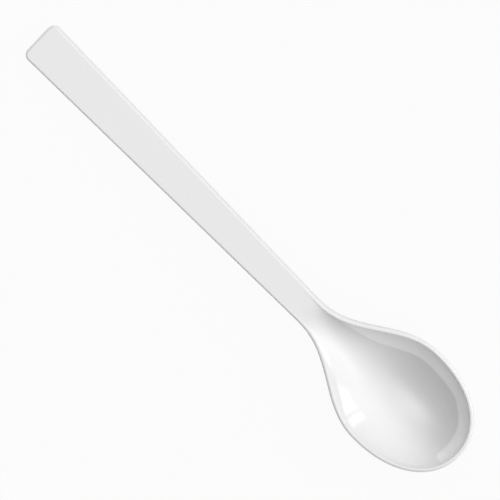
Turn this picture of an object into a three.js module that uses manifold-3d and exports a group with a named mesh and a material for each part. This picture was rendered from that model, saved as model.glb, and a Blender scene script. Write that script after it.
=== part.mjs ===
// A salad serving spoon: one white moulding with a straight flat handle, a neck and an egg-shaped bowl.
// It lies bowl up on a table, on a small flat under the bowl and on the lower edge of the handle's end.
// The moulding is divided into its three zones, which meet face to face on upright planes.
// Lengths are in millimetres: X runs from the handle's end to the tip, Y across, Z up from the table.
import * as THREE from "three";
import { mergeVertices } from "three/addons/utils/BufferGeometryUtils.js";
import Module from "manifold-3d";

// Lengths along the spoon
const HANDLE_LENGTH = 190.4; // the straight taper
const HOLLOW_LEAD = 6; // how far before the end of the taper the hollow starts, and the neck with it
const NECK_LENGTH = 22; // the part of the flare that belongs to the neck
const BOWL_REAR = 44.4; // from the neck to the bowl's widest line
const BOWL_FRONT = 43.2; // from the widest line to the tip

// Widths seen from above
const HANDLE_END_WIDTH = 23.1;
const NECK_WIDTH = 15.6; // where the taper ends and the flare starts
const BOWL_WIDTH = 62.8;
const RIM_WIDTH = 2.1; // top of the bowl's wall
const END_CORNER_RADIUS = 4; // corners of the handle's end
const FRONT_FULLNESS = 2.14; // front of the outline: 2 is half of an ellipse, more is fuller

// Heights
const HANDLE_THICKNESS = 5.5;
const NECK_HEIGHT = 19.3; // from the table to the top of the neck, where the flare starts
const BOWL_DEPTH = 15; // from the rim down to the deepest point of the hollow
const BOWL_FLOOR = 2.6; // wall under the deepest point
const FOOT_FLAT = 0.6; // how much of the round underside the resting flat takes away

// Small rounds
const EDGE_ROUND = 1.2; // outer edges of the handle and the rim
const LIP_ROUND = 0.4; // inner edge of the rim
const WALL_POWER = 1.75; // section of the bowl: 1 is half an ellipse, 2 a parabola

// How finely curves are divided
const HOLLOW_STEPS = 10; // from the middle of the hollow to the rim
const LIP_STEPS = 3;
const EDGE_STEPS = 4;
const BACK_STEPS = 14; // from the rim to the middle of the underside
const NECK_STEPS = 10;
const REAR_STEPS = 12;
const FRONT_STEPS = 14;
const CORNER_STEPS = 8;

const WIDEST_X = HANDLE_LENGTH + NECK_LENGTH + BOWL_REAR;
const NECK_X = HANDLE_LENGTH - HOLLOW_LEAD;
const BOWL_X = HANDLE_LENGTH + NECK_LENGTH;
const LENGTH = WIDEST_X + BOWL_FRONT;
const BOWL_HALF = BOWL_WIDTH / 2;
const TIP_GAIN = BOWL_FRONT - BOWL_HALF; // how much further the tip reaches than the sides
const BACK_DEPTH = BOWL_DEPTH + BOWL_FLOOR;
const RIM_HEIGHT = BACK_DEPTH - FOOT_FLAT;
const QUARTER = Math.PI / 2;

const wasm = await Module();
wasm.setup();

function solidOf(geometry) {
  const bare = new THREE.BufferGeometry();
  bare.setAttribute("position", geometry.getAttribute("position"));
  bare.setIndex(geometry.index);
  const merged = mergeVertices(bare, 1e-4);
  const triVerts = [];
  for (let i = 0; i < merged.index.count; i += 3) {
    const [a, b, c] = [0, 1, 2].map((k) => merged.index.getX(i + k));
    if (a !== b && b !== c && c !== a) triVerts.push(a, b, c);
  }
  const vertProperties = merged.getAttribute("position").array;
  return new wasm.Manifold(
    new wasm.Mesh({ numProp: 3, vertProperties, triVerts: new Uint32Array(triVerts) }),
  );
}

function geometryOf(solid) {
  const mesh = solid.getMesh();
  const geometry = new THREE.BufferGeometry();
  geometry.setAttribute("position", new THREE.BufferAttribute(mesh.vertProperties, 3));
  geometry.setIndex(new THREE.BufferAttribute(mesh.triVerts, 1));
  return geometry;
}

// A size that changes along the spoon, as a fifth-degree curve from one place to the widest line. Before it
// starts, it follows a straight slope. It goes straight on from there and arrives level, with a given bend.
function flareCurve(startX, from, slope, to, bend) {
  const length = WIDEST_X - startX;
  const lean = slope * length;
  const rise = to - from - lean;
  const curl = (bend * length * length) / 2;
  const factors = [
    from,
    lean,
    0,
    10 * rise + 4 * lean + curl,
    -15 * rise - 7 * lean - 2 * curl,
    6 * rise + 3 * lean + curl,
  ];
  const valueAt = (x) => {
    const q = Math.max(0, (x - startX) / length);
    return factors.reduceRight((sum, c) => sum * q + c, 0) + slope * Math.min(0, x - startX);
  };
  const slopeAt = (x) => {
    const q = Math.max(0, (x - startX) / length);
    return factors.reduceRight((sum, c, i) => (i ? sum * q + i * c : sum), 0) / length;
  };
  return { valueAt, slopeAt };
}

// The front of the outline is close to half of an ellipse, so the outline arrives with that ellipse's bend.
// The hollow and the underside arrive with the bend that they have ahead of the widest line.
const taper = (NECK_WIDTH - HANDLE_END_WIDTH) / 2 / HANDLE_LENGTH;
const frontBend = (height, half) => (-WALL_POWER * height) / (half + 2 * TIP_GAIN) ** 2;
const outlineBend = -BOWL_HALF / BOWL_FRONT ** 2;
const hollowBend = frontBend(BOWL_DEPTH, BOWL_HALF - RIM_WIDTH);
const outline = flareCurve(HANDLE_LENGTH, NECK_WIDTH / 2, taper, BOWL_HALF, outlineBend);
const hollow = flareCurve(NECK_X, 0, 0, BOWL_DEPTH, hollowBend);
const back = flareCurve(HANDLE_LENGTH, HANDLE_THICKNESS, 0, BACK_DEPTH, frontBend(BACK_DEPTH, BOWL_HALF));
const roundness = flareCurve(HANDLE_LENGTH, 0, 0, 1, 0);

// The handle climbs from the table to the neck, on its lower end edge, and the neck bends to a level rim.
const climb = (NECK_HEIGHT - HANDLE_THICKNESS) / (HANDLE_LENGTH - EDGE_ROUND);
const topLine = flareCurve(HANDLE_LENGTH, NECK_HEIGHT, climb, RIM_HEIGHT, 0);

// Half of the section across the spoon at x, as points of distance from the middle and height from the
// rim: along the hollow, over the rim, round its outer edge and back along the underside. Each point's
// zone tells which of the two faces it lies on, or that it lies on the rim.
function halfSection(x) {
  const half = outline.valueAt(x);
  const slant = Math.hypot(1, outline.slopeAt(x));
  const depth = hollow.valueAt(x);
  const inner = half - RIM_WIDTH * slant;
  const lip = (LIP_ROUND * depth) / (depth + LIP_ROUND);
  const points = [];
  for (let i = 0; i <= HOLLOW_STEPS; i++) {
    const turn = (QUARTER * i) / HOLLOW_STEPS;
    const sink = Math.abs(Math.cos(turn)) ** WALL_POWER;
    points.push({ y: inner * Math.sin(turn), z: -lip - (depth - lip) * sink, zone: "hollow" });
  }
  for (let i = 1; i <= LIP_STEPS; i++) {
    const turn = (QUARTER * i) / LIP_STEPS;
    const y = inner + LIP_ROUND * slant * (1 - Math.cos(turn));
    points.push({ y, z: lip * (Math.sin(turn) - 1), zone: "rim" });
  }
  for (let i = 0; i <= EDGE_STEPS; i++) {
    const turn = (QUARTER * i) / EDGE_STEPS;
    const y = half - EDGE_ROUND * slant * (1 - Math.sin(turn));
    points.push({ y, z: EDGE_ROUND * (Math.cos(turn) - 1), zone: "rim" });
  }
  const side = back.valueAt(x) - EDGE_ROUND;
  const round = roundness.valueAt(x);
  for (let i = 1; i <= BACK_STEPS; i++) {
    const turn = QUARTER * (1 - i / BACK_STEPS);
    const bar = barBack(i, EDGE_ROUND / half, EDGE_ROUND / side);
    const across = bar.across + round * (Math.sin(turn) - bar.across);
    const down = bar.down + round * (Math.cos(turn) ** WALL_POWER - bar.down);
    points.push({ y: half * across, z: -EDGE_ROUND - side * down, zone: "back" });
  }
  return points;
}

// Side, lower edge and flat underside of a plain bar, as shares of its half width and of its side.
function barBack(i, edgeAcross, edgeDown) {
  const roundEnd = EDGE_STEPS + 1;
  if (i <= roundEnd) {
    const turn = (QUARTER * (i - 1)) / EDGE_STEPS;
    return { across: 1 - edgeAcross * (1 - Math.cos(turn)), down: 1 - edgeDown * (1 - Math.sin(turn)) };
  }
  return { across: ((1 - edgeAcross) * (BACK_STEPS - i)) / (BACK_STEPS - roundEnd), down: 1 };
}

// Both halves of a section as one closed ring of points.
function ring(half, place) {
  const far = half.slice(1, -1).reverse();
  return [...half.map((p) => place(p, 1)), ...far.map((p) => place(p, -1))];
}

function uprightRing(x) {
  const top = topLine.valueAt(x);
  return ring(halfSection(x), (p, side) => new THREE.Vector3(x, side * p.y, top + p.z));
}

// The widest section swung about the bowl's middle towards the tip. The flat bottom takes up the bowl's
// greater length there, so the wall at the tip is as steep as the wall at the sides.
const widest = halfSection(WIDEST_X);
const stretched = (y, half) => y + (TIP_GAIN * y * (2 - y / half)) / half;
const stretch = {
  hollow: (y) => stretched(y, BOWL_HALF - RIM_WIDTH),
  rim: (y) => y + TIP_GAIN,
  back: (y) => stretched(y, BOWL_HALF),
};

function frontRing(swing) {
  const ahead = Math.sin(swing) ** (2 / FRONT_FULLNESS);
  const aside = Math.abs(Math.cos(swing)) ** (2 / FRONT_FULLNESS);
  return ring(
    widest,
    (p, side) =>
      new THREE.Vector3(WIDEST_X + stretch[p.zone](p.y) * ahead, side * p.y * aside, RIM_HEIGHT + p.z),
  );
}

// A closed surface through rings of equally many points. A last ring folded flat closes itself.
function loft(rings, lastIsOpen) {
  const count = rings[0].length;
  const index = [];
  for (let r = 0; r + 1 < rings.length; r++) {
    for (let i = 0; i < count; i++) {
      const next = (i + 1) % count;
      const [a, b] = [r * count + i, r * count + next];
      index.push(a, a + count, b, b, a + count, b + count);
    }
  }
  const cap = (r) => {
    const flat = rings[r].map((p) => new THREE.Vector2(p.y, p.z));
    return THREE.ShapeUtils.triangulateShape(flat, []).map((t) => t.map((i) => r * count + i));
  };
  index.push(...cap(0).flatMap(([a, b, c]) => [a, c, b]));
  if (lastIsOpen) index.push(...cap(rings.length - 1).flat());
  const geometry = new THREE.BufferGeometry().setFromPoints(rings.flat());
  geometry.setIndex(index);
  return geometry;
}

const evenSteps = (from, to, steps) =>
  Array.from({ length: steps + 1 }, (_, i) => from + ((to - from) * i) / steps);

// A block that takes away everything past a plane: ahead of an upright one, or below a level one.
function blockFrom(x, z) {
  const block = new THREE.BoxGeometry(2 * LENGTH, 2 * LENGTH, 2 * LENGTH);
  block.translate(x + LENGTH, 0, z);
  return solidOf(block);
}

// The handle: a tapered bar with round edges all the way round, made too long and cut at the neck.
function handle() {
  const past = NECK_X + 2 * EDGE_ROUND;
  const halfAt = (x) => HANDLE_END_WIDTH / 2 + taper * x;
  const corner = halfAt(0) - END_CORNER_RADIUS;
  const plan = new THREE.Shape();
  plan.moveTo(past, -halfAt(past));
  plan.lineTo(past, halfAt(past));
  plan.absarc(END_CORNER_RADIUS, corner, END_CORNER_RADIUS, QUARTER, Math.PI, false);
  plan.absarc(END_CORNER_RADIUS, -corner, END_CORNER_RADIUS, Math.PI, 3 * QUARTER, false);
  plan.closePath();
  const bar = new THREE.ExtrudeGeometry(plan, {
    depth: HANDLE_THICKNESS - 2 * EDGE_ROUND,
    bevelThickness: EDGE_ROUND,
    bevelSize: EDGE_ROUND,
    bevelOffset: -EDGE_ROUND,
    bevelSegments: EDGE_STEPS,
    curveSegments: CORNER_STEPS,
  });
  bar.translate(-HANDLE_LENGTH, 0, EDGE_ROUND - HANDLE_THICKNESS);
  const climbing = new THREE.Matrix4().makeShear(0, climb, 0, 0, 0, 0);
  bar.applyMatrix4(climbing).translate(HANDLE_LENGTH, 0, NECK_HEIGHT);
  return geometryOf(solidOf(bar).subtract(blockFrom(NECK_X, 0)));
}

// The neck: the handle's bar starts to widen, to deepen and to turn hollow.
function neck() {
  const stations = evenSteps(NECK_X, BOWL_X, NECK_STEPS);
  return loft(stations.map(uprightRing), true);
}

// The bowl: the rest of the flare and the rounded front, with its underside cut flat at the table.
function bowl() {
  const rear = evenSteps(BOWL_X, WIDEST_X, REAR_STEPS).map(uprightRing);
  const front = evenSteps(0, QUARTER, FRONT_STEPS).slice(1).map(frontRing);
  const round = loft([...rear, ...front], false);
  return geometryOf(solidOf(round).subtract(blockFrom(0, -LENGTH)));
}

const spoon = new THREE.Group();
for (const [name, shape] of Object.entries({ handle, neck, bowl })) {
  const finish = new THREE.MeshStandardMaterial({ color: 0xf3f3f1, roughness: 0.1, metalness: 0 });
  const zone = new THREE.Mesh(shape().translate(-LENGTH / 2, 0, 0), finish);
  zone.name = name;
  spoon.add(zone);
}

export default spoon;
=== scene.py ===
import math

import bmesh
import bpy
from mathutils import Matrix, Vector


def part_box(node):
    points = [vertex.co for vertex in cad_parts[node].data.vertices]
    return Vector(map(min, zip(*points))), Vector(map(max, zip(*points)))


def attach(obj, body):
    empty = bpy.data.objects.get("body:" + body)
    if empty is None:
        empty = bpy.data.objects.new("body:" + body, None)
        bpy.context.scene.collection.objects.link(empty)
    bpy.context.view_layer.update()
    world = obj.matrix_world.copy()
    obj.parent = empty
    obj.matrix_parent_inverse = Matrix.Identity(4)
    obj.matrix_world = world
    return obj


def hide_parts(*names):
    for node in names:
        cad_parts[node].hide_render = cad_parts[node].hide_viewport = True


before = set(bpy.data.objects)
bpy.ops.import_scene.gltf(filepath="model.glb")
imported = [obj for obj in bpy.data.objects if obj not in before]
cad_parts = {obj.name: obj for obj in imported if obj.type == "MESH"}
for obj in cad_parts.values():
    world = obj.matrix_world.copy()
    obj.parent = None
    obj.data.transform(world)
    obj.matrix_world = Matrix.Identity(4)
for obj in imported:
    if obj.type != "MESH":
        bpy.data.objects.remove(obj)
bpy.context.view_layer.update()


# The spoon: a single piece of white melamine, pressed in a heated two-part mould.
# A flat tapered handle runs into a flaring neck and an egg-shaped bowl with an even rim.
# Nothing is fixed to it, so one unbroken skin stands for the handle, the neck and the bowl.

MM = 0.001
handle_low, handle_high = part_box("handle")
bowl_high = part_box("bowl")[1]
END_X = handle_low[0]  # the square end of the handle
HOLLOW_LEAD = 6.0 * MM  # the hollow starts with the neck, this far before the sides flare
FLARE_X = handle_high[0] + HOLLOW_LEAD  # where the straight sides end
TIP_X = bowl_high[0]
BOWL_FRONT = 43.2 * MM  # from the widest line to the tip
WIDEST_X = TIP_X - BOWL_FRONT
FLARE = WIDEST_X - FLARE_X
HOLLOW = FLARE + HOLLOW_LEAD

END_HALF = handle_high[1]
NECK_HALF = 7.8 * MM
BOWL_HALF = bowl_high[1]
TIP_GAIN = BOWL_FRONT - BOWL_HALF  # how much further the tip reaches than the sides
TAPER = (NECK_HALF - END_HALF) / (FLARE_X - END_X)
FRONT_FULLNESS = 2.14  # 2 makes the front half of an ellipse, and more makes it fuller
FRONT_POWER = 2 / FRONT_FULLNESS

RIM_WIDTH = 2.1 * MM
THICKNESS = 5.5 * MM
BOWL_DEPTH = 15.0 * MM
BOWL_FLOOR = 2.6 * MM
BACK_DEPTH = BOWL_DEPTH + BOWL_FLOOR
FOOT_FLAT = 0.6 * MM  # how deep the bowl is flattened underneath
FLAT_BORDER = 0.3 * MM  # a narrow border keeps the flat end and foot evenly shaded
EDGE_ROUND = 1.2 * MM
LIP_ROUND = 0.4 * MM
END_CORNER = 4.0 * MM
WALL_POWER = 1.75  # 1 is an elliptical hollow, 2 a parabolic one

RIM_HEIGHT = BACK_DEPTH - FOOT_FLAT
NECK_HEIGHT = 19.3 * MM  # the handle climbs from the table to the neck, and the rim is level
CLIMB = (NECK_HEIGHT - THICKNESS) / (FLARE_X - END_X - EDGE_ROUND)

HOLLOW_STEPS = 36
LIP_STEPS = 5
EDGE_STEPS = 10
BACK_STEPS = 40
FLARE_STEPS = 72
FRONT_STEPS = 56
HANDLE_STEPS = 24
END_STEPS = 14
QUARTER = math.pi / 2
SAME_POINT = 1e-6  # metres: points closer than this are one
HAIR = 1e-7  # metres: less than any step of the mesh


def flare_curve(start, slope, end, bend, length):
    """A quintic that goes straight on from the handle, and ends level at the widest line, with a bend."""
    lean = slope * length
    rise = end - start - lean
    curl = bend * length**2 / 2
    return [
        start,
        lean,
        0.0,
        10 * rise + 4 * lean + curl,
        -15 * rise - 7 * lean - 2 * curl,
        6 * rise + 3 * lean + curl,
    ]


def at(curve, q):
    """What a curve gives at q, which goes from 0 at its start to 1 at the widest line."""
    return sum(factor * q**power for power, factor in enumerate(curve))


def steepness(curve, q):
    return sum(power * factor * q ** (power - 1) for power, factor in enumerate(curve) if power) / FLARE


def front_bend(depth, half):
    """The bend that a depth has along the middle, just ahead of the widest line."""
    return -WALL_POWER * depth / (half + 2 * TIP_GAIN) ** 2


def stretched(y, half):
    """How far towards the tip a point lies that is y to the side: the bottom takes up most of the gain."""
    return y + TIP_GAIN * y / half * (2 - y / half)


outline = flare_curve(NECK_HALF, TAPER, BOWL_HALF, -BOWL_HALF / BOWL_FRONT**2, FLARE)
hollow = flare_curve(0.0, 0.0, BOWL_DEPTH, front_bend(BOWL_DEPTH, BOWL_HALF - RIM_WIDTH), HOLLOW)
back = flare_curve(THICKNESS, 0.0, BACK_DEPTH, front_bend(BACK_DEPTH, BOWL_HALF), FLARE)
roundness = flare_curve(0.0, 0.0, 1.0, 0.0, FLARE)  # of the back: 0 is a flat bar, 1 the bowl
top_line = flare_curve(NECK_HEIGHT, CLIMB, RIM_HEIGHT, 0.0, FLARE)


def spaced(first, last, steps):
    return [first + (last - first) * i / steps for i in range(steps + 1)]


def half_section(x):
    """The cut across the spoon at x, from the middle of its top over the edge to the middle of its back.

    Each point is its distance from the middle, its height over the top line, and its reach at the tip."""
    q = max(0.0, (x - FLARE_X) / FLARE)
    gap = x - END_X
    half = at(outline, q) + TAPER * min(0.0, x - FLARE_X)
    slant = math.hypot(1.0, steepness(outline, q))
    depth = at(hollow, max(0.0, 1.0 - (WIDEST_X - x) / HOLLOW))
    thick = at(back, q)
    turn = math.asin(max(0.0, 1.0 - gap / EDGE_ROUND))

    def pulled_in(drop):
        """How far a line on the edge round, drop in from the side, stands in from the full width."""
        corner = END_CORNER - drop
        left = min(gap - drop, corner)
        return drop * slant + corner - math.sqrt(max(0.0, corner**2 - (corner - left) ** 2))

    edge = []
    for angle in spaced(turn, QUARTER, EDGE_STEPS):
        drop = EDGE_ROUND * (1 - math.sin(angle))
        edge.append((half - pulled_in(drop), EDGE_ROUND * (math.cos(angle) - 1)))
    squeeze = edge[0][0] / (half - EDGE_ROUND * slant)
    sunk = edge[0][1]

    points = []
    inner = half - RIM_WIDTH * slant
    lip = LIP_ROUND * depth / (depth + LIP_ROUND)
    for angle in spaced(0.0, QUARTER, HOLLOW_STEPS):
        y = inner * math.sin(angle)
        z = -lip - (depth - lip) * max(0.0, math.cos(angle)) ** WALL_POWER
        points.append((y * squeeze, z + sunk, stretched(y, inner)))
    for angle in spaced(0.0, QUARTER, LIP_STEPS)[1:]:
        y = inner + LIP_ROUND * slant * (1 - math.cos(angle))
        points.append((y * squeeze, lip * (math.sin(angle) - 1) + sunk, y + TIP_GAIN))
    for y, z in edge:
        points.append((y, z, y + TIP_GAIN))

    flat_steps = BACK_STEPS - EDGE_STEPS
    bar = [(y, -thick - z) for y, z in reversed(edge)]
    bar += [(edge[0][0] * share, -thick - sunk) for share in spaced(1.0, 0.0, flat_steps)[1:]]
    blend = at(roundness, q)
    for (bar_y, bar_z), angle in zip(bar, spaced(QUARTER, 0.0, BACK_STEPS)):
        bowl_y = half * math.sin(angle)
        bowl_z = -EDGE_ROUND - (thick - EDGE_ROUND) * max(0.0, math.cos(angle)) ** WALL_POWER
        y = bar_y + (bowl_y - bar_y) * blend
        points.append((y, bar_z + (bowl_z - bar_z) * blend, stretched(y, half)))
    return points


def place(chain, x):
    """Puts a chain of points on the cut at x, and notes the reach of each."""
    top = at(top_line, max(0.0, (x - FLARE_X) / FLARE)) + CLIMB * min(0.0, x - FLARE_X)
    for vert, (y, z, tip) in zip(chain, half_section(x)):
        vert.co = (x, y, top + z)
        vert[reach] = tip


def drawn_on(chain):
    """The next cut's chain of points, drawn on from this one."""
    edges = [bm.edges.get(pair) for pair in zip(chain, chain[1:])]
    made = set(bmesh.ops.extrude_edge_only(bm, edges=edges)["geom"])
    following = []
    for vert in chain:
        ends = [edge.other_vert(vert) for edge in vert.link_edges]
        following.append(next(end for end in ends if end in made))
    return following


bm = bmesh.new()
reach = bm.verts.layers.float.new("reach")
widest = [bm.verts.new() for point in half_section(WIDEST_X)]
widest_edges = [bm.edges.new(pair) for pair in zip(widest, widest[1:])]
place(widest, WIDEST_X)

# back along the flare and the handle, and round the square end
end_rounds = [END_X + END_CORNER * (1 - math.cos(a)) for a in spaced(QUARTER, 0.0, END_STEPS)]
stations = spaced(WIDEST_X, FLARE_X, FLARE_STEPS)[1:]
stations += spaced(FLARE_X, end_rounds[0], HANDLE_STEPS)[1:]
stations += end_rounds[1:]
chain = widest
for x in stations:
    chain = drawn_on(chain)
    place(chain, x)

# the front of the bowl: the widest cut swung a quarter turn, then drawn out to the tip
bmesh.ops.spin(
    bm,
    geom=widest + widest_edges,
    cent=(WIDEST_X, 0.0, 0.0),
    axis=(0.0, 0.0, 1.0),
    angle=-QUARTER,
    steps=FRONT_STEPS,
)
for vert in bm.verts:
    if vert.co.x > WIDEST_X + HAIR:
        out, side = vert.co.x - WIDEST_X, max(0.0, vert.co.y)
        far = math.hypot(out, side)
        vert.co.x = WIDEST_X + vert[reach] * (out / far) ** FRONT_POWER
        vert.co.y = far * (side / far) ** FRONT_POWER

bmesh.ops.remove_doubles(bm, verts=bm.verts, dist=SAME_POINT)
one_half = bm.verts[:] + bm.edges[:] + bm.faces[:]
bmesh.ops.mirror(bm, geom=one_half, axis="Y", merge_dist=SAME_POINT)
bmesh.ops.remove_doubles(bm, verts=bm.verts, dist=SAME_POINT)

# the bowl is ground flat underneath so that it stands, and the foot and the handle's end are closed
bmesh.ops.bisect_plane(
    bm,
    geom=bm.verts[:] + bm.edges[:] + bm.faces[:],
    plane_co=(0, 0, 0),
    plane_no=(0, 0, 1),
    clear_inner=True,
)
flats = bmesh.ops.holes_fill(bm, edges=[edge for edge in bm.edges if edge.is_boundary])["faces"]
bmesh.ops.recalc_face_normals(bm, faces=bm.faces)
bmesh.ops.inset_individual(bm, faces=flats, thickness=FLAT_BORDER)
for face in bm.faces:
    face.smooth = True
spoon_mesh = bpy.data.meshes.new("spoon_moulding")
bm.to_mesh(spoon_mesh)
bm.free()
spoon = bpy.data.objects.new("spoon_moulding", spoon_mesh)
bpy.context.scene.collection.objects.link(spoon)


def linear(hex_colour):
    """An sRGB hex colour as linear red, green, blue and alpha."""
    parts = [int(hex_colour[i : i + 2], 16) / 255 for i in (1, 3, 5)]
    return [p / 12.92 if p <= 0.04045 else ((p + 0.055) / 1.055) ** 2.4 for p in parts] + [1.0]


def node(tree, kind, values=(), links=(), **settings):
    """Adds one node with its settings, its input values, and its links as (input, node, output)."""
    made = tree.nodes.new(kind)
    for name, value in settings.items():
        setattr(made, name, value)
    for name, value in dict(values).items():
        made.inputs[name].default_value = value
    for name, source, output in links:
        tree.links.new(source.outputs[output], made.inputs[name])
    return made


# Melamine pressed in a polished mould: nearly neutral white with a hard gloss.
# Up close the gloss ripples very slightly and the white is faintly uneven, as the powder flowed.
FLOW_SIZE = 35 * MM
RIPPLE_SIZE = 9 * MM
RIPPLE_HEIGHT = 0.2 * MM
melamine = bpy.data.materials.new("moulded_white_melamine")
melamine.use_nodes = True
tree = melamine.node_tree
tree.nodes.clear()
where = node(tree, "ShaderNodeTexCoord")
flow = node(
    tree,
    "ShaderNodeTexNoise",
    {"Scale": 1 / FLOW_SIZE, "Detail": 2.0, "Roughness": 0.5},
    [("Vector", where, "Object")],
)
white = node(
    tree,
    "ShaderNodeMix",
    {"A": linear("#dcdcdc"), "B": linear("#dfdfdf")},
    [("Factor", flow, "Fac")],
    data_type="RGBA",
)
ripple = node(
    tree,
    "ShaderNodeTexNoise",
    {"Scale": 1 / RIPPLE_SIZE, "Detail": 1.0, "Roughness": 0.4},
    [("Vector", where, "Object")],
)
relief = node(
    tree,
    "ShaderNodeBump",
    {"Strength": 0.02, "Distance": RIPPLE_HEIGHT},
    [("Height", ripple, "Fac")],
)
polish = node(tree, "ShaderNodeMapRange", {"To Min": 0.08, "To Max": 0.11}, [("Value", flow, "Fac")])
gloss = node(
    tree,
    "ShaderNodeBsdfPrincipled",
    {"IOR": 2.0},  # a little high for melamine, to match how strongly the photograph's gloss mirrors
    [("Base Color", white, "Result"), ("Normal", relief, "Normal"), ("Roughness", polish, "Result")],
)
node(tree, "ShaderNodeOutputMaterial", links=[("Surface", gloss, "BSDF")])
spoon_mesh.materials.append(melamine)

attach(spoon, "root")
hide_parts("handle", "neck", "bowl")


# The floor: a wide sheet of matt pale card under the spoon.
# It runs far past the view, so the background is white on every side and keeps the spoon's shadow.

FLOOR_HALF = 6.0
FLOOR_DROP = 0.02 * MM  # just clear of the bowl's foot
WHITE_SHARE = 0.94  # the rest is the card's own grey, which takes the shadow
bm = bmesh.new()
bmesh.ops.create_grid(bm, x_segments=1, y_segments=1, size=FLOOR_HALF)
bmesh.ops.translate(bm, verts=bm.verts, vec=(0, 0, -FLOOR_DROP))
floor_mesh = bpy.data.meshes.new("floor")
bm.to_mesh(floor_mesh)
bm.free()
floor = bpy.data.objects.new("floor", floor_mesh)
bpy.context.scene.collection.objects.link(floor)

# Matt card: an even pale grey, lifted to paper white for the eye and for reflections.
card = bpy.data.materials.new("matt_pale_card")
card.use_nodes = True
tree = card.node_tree
tree.nodes.clear()
paper = node(tree, "ShaderNodeBsdfDiffuse", {"Color": linear("#c4c4c4")})
glow = node(tree, "ShaderNodeEmission", {"Color": linear("#ffffff"), "Strength": 1.0})
ray = node(tree, "ShaderNodeLightPath")
seen = node(
    tree,
    "ShaderNodeMath",
    links=[(0, ray, "Is Camera Ray"), (1, ray, "Is Glossy Ray")],
    operation="MAXIMUM",
)
seen = node(
    tree,
    "ShaderNodeMath",
    links=[(0, seen, 0), (1, ray, "Is Transmission Ray")],
    operation="MAXIMUM",
)
share = node(tree, "ShaderNodeMath", {1: WHITE_SHARE}, [(0, seen, 0)], operation="MULTIPLY")
lifted = node(
    tree,
    "ShaderNodeMixShader",
    links=[("Fac", share, 0), (1, paper, "BSDF"), (2, glow, "Emission")],
)
node(tree, "ShaderNodeOutputMaterial", links=[("Surface", lifted, "Shader")])
floor_mesh.materials.append(card)


# The light: a pale room with most of its brightness overhead and on the photograph's right.
# Two soft boxes stand low on that side, and show as windows in the gloss of the bowl's lit wall.
# A long low card on the left shows as the bright band along the bowl's shaded wall.

IMAGE_RIGHT = Vector((1, 1, 0)).normalized()
IMAGE_UP = Vector((-1, 1, 0)).normalized()
UPRIGHT = Vector((0, 0, 1))


def towards(bearing, height):
    """A direction, turned left from the photograph's right, and up from the table, in degrees."""
    turn, lift = math.radians(bearing), math.radians(height)
    level = IMAGE_RIGHT * math.cos(turn) + IMAGE_UP * math.sin(turn)
    return level * math.cos(lift) + UPRIGHT * math.sin(lift)


room = bpy.data.worlds.new("pale_room")
room.use_nodes = True
tree = room.node_tree
tree.nodes.clear()
view = node(tree, "ShaderNodeTexCoord")
# from black, each soft patch adds its strength, and a tighter one is smaller
brightness = node(tree, "ShaderNodeMath", {0: 0.0, 1: 0.0}, operation="ADD")
for bearing, height, strength, tightness in (
    (-45, 15, 1.25, 4),
    (0, 15, 0.6, 4),
    (45, 15, 0.15, 4),
    (90, 15, 0.85, 4),
    (20, 65, 1.36, 4),
    (45, 40, 0.44, 4),
    (183, 75, 1.12, 24),
    (-75, 65, 0.22, 20),
    (-28, 34, 0.4, 60),
):
    facing = node(
        tree,
        "ShaderNodeVectorMath",
        {1: towards(bearing, height)},
        [(0, view, "Generated")],
        operation="DOT_PRODUCT",
    )
    ahead = node(tree, "ShaderNodeMath", {1: 0.0}, [(0, facing, "Value")], operation="MAXIMUM")
    soft = node(tree, "ShaderNodeMath", {1: tightness}, [(0, ahead, 0)], operation="POWER")
    brightness = node(
        tree,
        "ShaderNodeMath",
        {1: strength},
        [(0, soft, 0), (2, brightness, 0)],
        operation="MULTIPLY_ADD",
    )
air = node(tree, "ShaderNodeBackground", {"Color": linear("#ffffff")}, [("Strength", brightness, 0)])
node(tree, "ShaderNodeOutputWorld", links=[("Surface", air, "Background")])
bpy.context.scene.world = room

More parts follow.
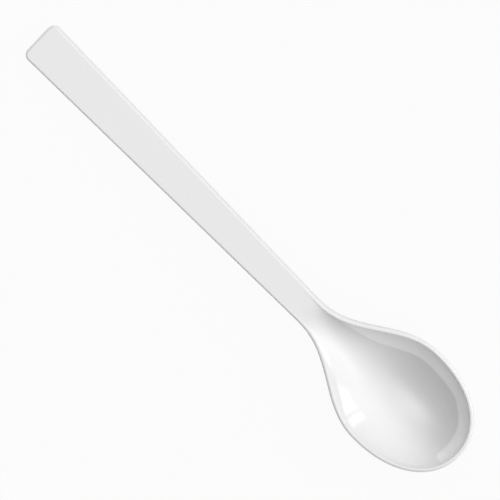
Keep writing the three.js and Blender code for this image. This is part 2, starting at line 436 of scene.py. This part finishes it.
# each panel's two ends are metres to the photograph's right and up from the bowl's lit wall
LIT_WALL = Vector((92 * MM, -22 * MM, 0))
for name, start, end, low, high, watts in (
    ("window_large", (1.42, -0.02), (0.86, 0.285), 0.0, 0.5, 1.04),
    ("window_small", (0.80, 0.335), (0.60, 0.40), 0.0, 0.5, 0.334),
    ("white_card", (-0.60, 1.04), (-3.26, -1.52), 0.0, 0.54, 6.2),
):
    first, last = [LIT_WALL + IMAGE_RIGHT * right + IMAGE_UP * up for right, up in (start, end)]
    panel = bpy.data.lights.new(name, "AREA")
    panel.shape = "RECTANGLE"
    panel.size, panel.size_y = (last - first).length, high - low
    panel.energy = watts
    stand = bpy.data.objects.new(name, panel)
    stand.location = (first + last) / 2 + UPRIGHT * (low + high) / 2
    stand.rotation_euler = UPRIGHT.cross(last - first).to_track_quat("-Z", "Y").to_euler()
    stand.visible_camera = False
    bpy.context.scene.collection.objects.link(stand)


# The camera: far above the spoon and a little to its side, on a long lens.
# The handle points to the picture's upper left, and the bowl to its lower right.

SIDE_VIEW = math.radians(11)
SLANT = math.radians(44.38)  # how far the spoon points below the picture's right
VIEW_WIDTH = 252 * MM  # across the picture, at the rim's height
AIM_RIGHT = 2.04 * MM  # the picture's middle, from the middle of the spoon's length
AIM_DOWN = 0.46 * MM
camera_data = bpy.data.cameras.new("camera")
camera_data.lens = 300.0
camera_data.sensor_width = 36.0
camera = bpy.data.objects.new("camera", camera_data)
along = Vector((1, 0, 0))
across = Vector((0, math.cos(SIDE_VIEW), -math.sin(SIDE_VIEW)))
picture_right = along * math.cos(SLANT) + across * math.sin(SLANT)
picture_up = across * math.cos(SLANT) - along * math.sin(SLANT)
back_off = picture_right.cross(picture_up)
aim = Vector((0, 0, RIM_HEIGHT)) + picture_right * AIM_RIGHT - picture_up * AIM_DOWN
turn = Matrix((picture_right, picture_up, back_off)).transposed().to_4x4()
distance = VIEW_WIDTH * camera_data.lens / camera_data.sensor_width
camera.matrix_world = Matrix.Translation(aim + back_off * distance) @ turn
bpy.context.scene.collection.objects.link(camera)
bpy.context.scene.camera = camera
bpy.context.scene.view_settings.view_transform = "Standard"
